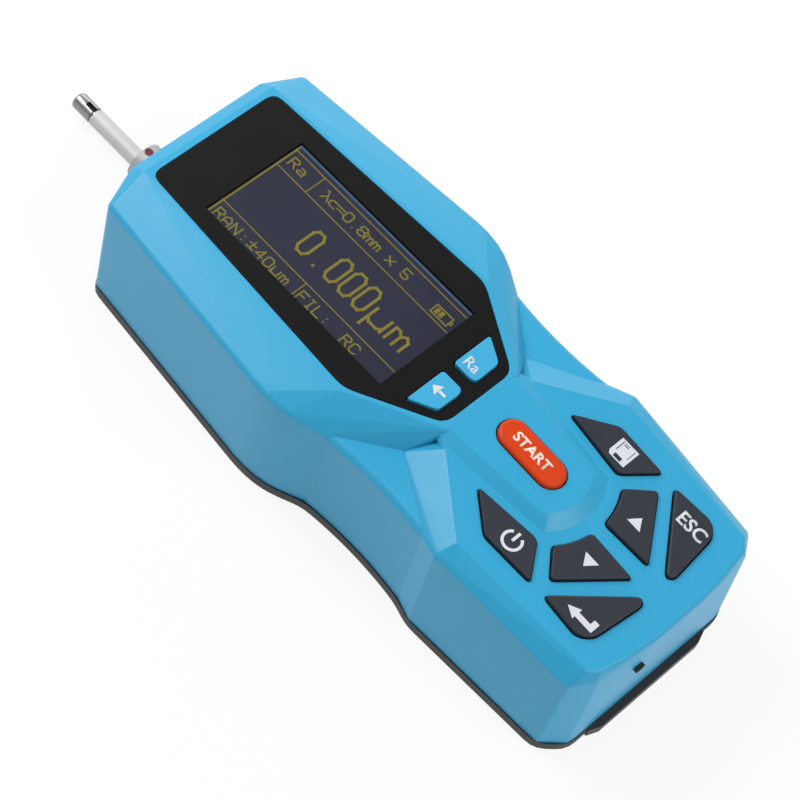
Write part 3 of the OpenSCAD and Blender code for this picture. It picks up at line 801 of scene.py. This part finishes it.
def seenRays(paint):  # 1 for what the camera, a reflection or a clear pane looks at
    rays = paint.add("ShaderNodeLightPath", {}, {}, "Is Camera Ray")
    gloss = Flow(paint, rays.socket.node.outputs["Is Glossy Ray"])
    through = Flow(paint, rays.socket.node.outputs["Is Transmission Ray"])
    return paint.add("ShaderNodeMath", {"operation": "ADD", "use_clamp": True}, {0: rays + gloss, 1: through})


clearSelection()
bpy.ops.mesh.primitive_plane_add(size=studio["floorSize"], location=(0, 0, -studio["floorDrop"]))
floor = bpy.context.active_object
floor.name = "floor"
floorPaint = Paint("paleFloor")
seenFloor = studio["floorGlow"] * seenRays(floorPaint)
matte = floorPaint.add("ShaderNodeBsdfDiffuse", {}, {"Color": [studio["floorShade"]] * 3 + [1]})
glowing = floorPaint.add("ShaderNodeEmission", {}, {"Color": white, "Strength": 1.0})
floorMix = floorPaint.add("ShaderNodeMixShader", {}, {0: seenFloor, 1: matte, 2: glowing})
floor.data.materials.append(floorPaint.output(floorMix))

sky = Paint("studioWorld", world=True)
height = sky.add("ShaderNodeSeparateXYZ", {}, {0: sky.place}, "Z")
clamped = {"operation": "MULTIPLY", "use_clamp": True}
backdrop = sky.add("ShaderNodeMath", clamped, {0: studio["backdropTop"] - height, 1: studio["backdropFade"]})
ceiling = sky.add("ShaderNodeBackground", {}, {"Color": white, "Strength": studio["sky"]})
bright = sky.add("ShaderNodeBackground", {}, {"Color": white, "Strength": 1.0})
skyMix = sky.add("ShaderNodeMixShader", {}, {0: seenRays(sky) * backdrop, 1: ceiling, 2: bright})
scene.world = sky.output(skyMix)

lamps = {
    "keyLight": {"spot": (-0.42, -0.08, 0.50), "target": (-0.02, 0, 0.03), "size": 0.34, "power": 3.0},
    "topLight": {"spot": (0.42, 0.10, 0.55), "target": (0.02, 0, 0.03), "size": 0.34, "power": 1.8},
    "endLight": {"spot": (0.75, -0.15, 0.22), "target": (0.03, 0, 0.02), "size": 0.36, "power": 0.8},
    "backLight": {"spot": (-0.45, 0.60, 0.32), "target": (0, 0, 0.02), "size": 0.5, "power": 1.75},
}
for lampName, setup in lamps.items():
    lamp = bpy.data.lights.new(lampName, "AREA")
    lamp.shape = "DISK"
    lamp.size = setup["size"]
    lamp.energy = setup["power"]
    holder = bpy.data.objects.new(lampName, lamp)
    scene.collection.objects.link(holder)
    holder.location = setup["spot"]
    ray = Vector(setup["target"]) - Vector(setup["spot"])
    holder.rotation_euler = ray.to_track_quat("-Z", "Y").to_euler()

view = {  # focal length in pixels of a square picture of this size
    "focal": 2777.94, "picture": 800, "sensor": 36.0, "clip": (0.01, 20.0),
    "place": (0.14368, -0.26120, 0.50028), "right": (0.67977, 0.71194, 0.17624),
    "down": (0.68713, -0.53418, -0.49244), "ahead": (-0.25644, 0.45584, -0.85232),
}
cameraData = bpy.data.cameras.new("photoCamera")
cameraData.sensor_width = view["sensor"]
cameraData.lens = view["focal"] / view["picture"] * view["sensor"]
cameraData.clip_start, cameraData.clip_end = view["clip"]
camera = bpy.data.objects.new("photoCamera", cameraData)
scene.collection.objects.link(camera)
turn = Matrix((view["right"], -Vector(view["down"]), -Vector(view["ahead"]))).transposed()
camera.matrix_world = Matrix.Translation(view["place"]) @ turn.to_4x4()
scene.camera = camera
print("studio done")
